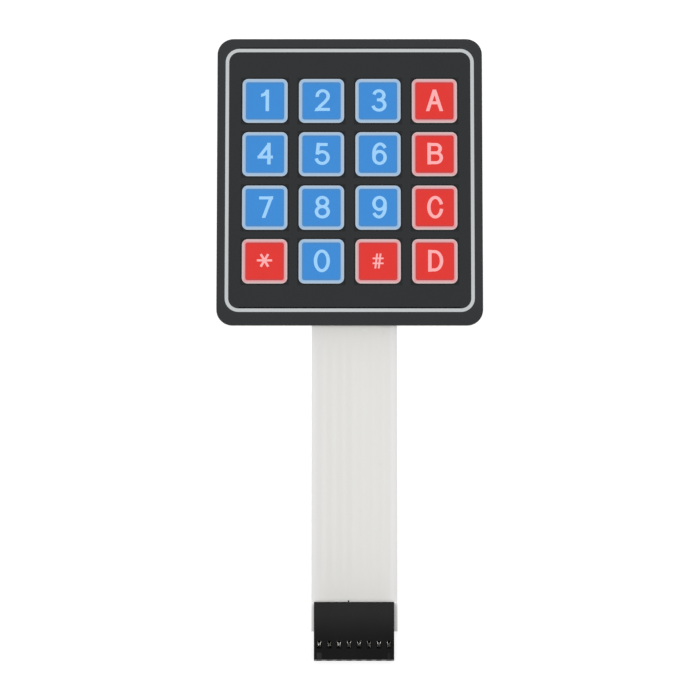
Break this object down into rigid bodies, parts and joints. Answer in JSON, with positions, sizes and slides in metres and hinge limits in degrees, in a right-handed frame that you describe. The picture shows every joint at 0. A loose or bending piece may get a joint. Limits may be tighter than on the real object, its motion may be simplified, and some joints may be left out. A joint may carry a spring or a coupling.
{
  "type": "membrane keypad",
  "caption": "Flat stick-on membrane keypad with embossed keys in a square grid, a film tail and a clinched socket connector for square header pins.",
  "frame": {"origin": "middle of the pad's back face, the underside of the release liner", "axes": "+Z out of the front face, +Y along the length towards the pad's top edge with the tail towards -Y, +X to the right as seen from the front"},
  "size_m": [0.069, 0.1636, 0.0025],
  "materials": {
    "liner_paper": "smooth silicone-coated release paper",
    "adhesive": "clear tacky acrylic film",
    "circuit_film": "milky polyester film, satin",
    "spacer_film": "clear polyester film with adhesive on both faces",
    "overlay_film": "fine matte polyester film printed dark grey",
    "silver_ink": "screen-printed silver ink",
    "pale_ink": "screen-printed pale grey under matte film",
    "blue_ink": "screen-printed blue under matte film",
    "red_ink": "screen-printed red under matte film",
    "housing_plastic": "black moulded plastic, satin",
    "contact_metal": "bright tin plate"
  },
  "bodies": {
    "root": {"release_liner": "liner_paper", "rear_adhesive": "adhesive", "lower_circuit_film": "circuit_film", "spacer_film": "spacer_film", "upper_circuit_film": "circuit_film", "overlay_adhesive": "adhesive", "graphic_overlay": "overlay_film", "column_track_1": "silver_ink", "column_track_2": "silver_ink", "column_track_3": "silver_ink", "column_track_4": "silver_ink", "row_track_1": "silver_ink", "row_track_2": "silver_ink", "row_track_3": "silver_ink", "row_track_4": "silver_ink", "border_line_print": "pale_ink", "key_outline_print": "pale_ink", "blue_key_print": "blue_ink", "red_key_print": "red_ink", "connector_housing": "housing_plastic", "contact_1": "contact_metal", "contact_2": "contact_metal", "contact_3": "contact_metal", "contact_4": "contact_metal", "contact_5": "contact_metal", "contact_6": "contact_metal", "contact_7": "contact_metal", "contact_8": "contact_metal"}
  },
  "joints": []
}
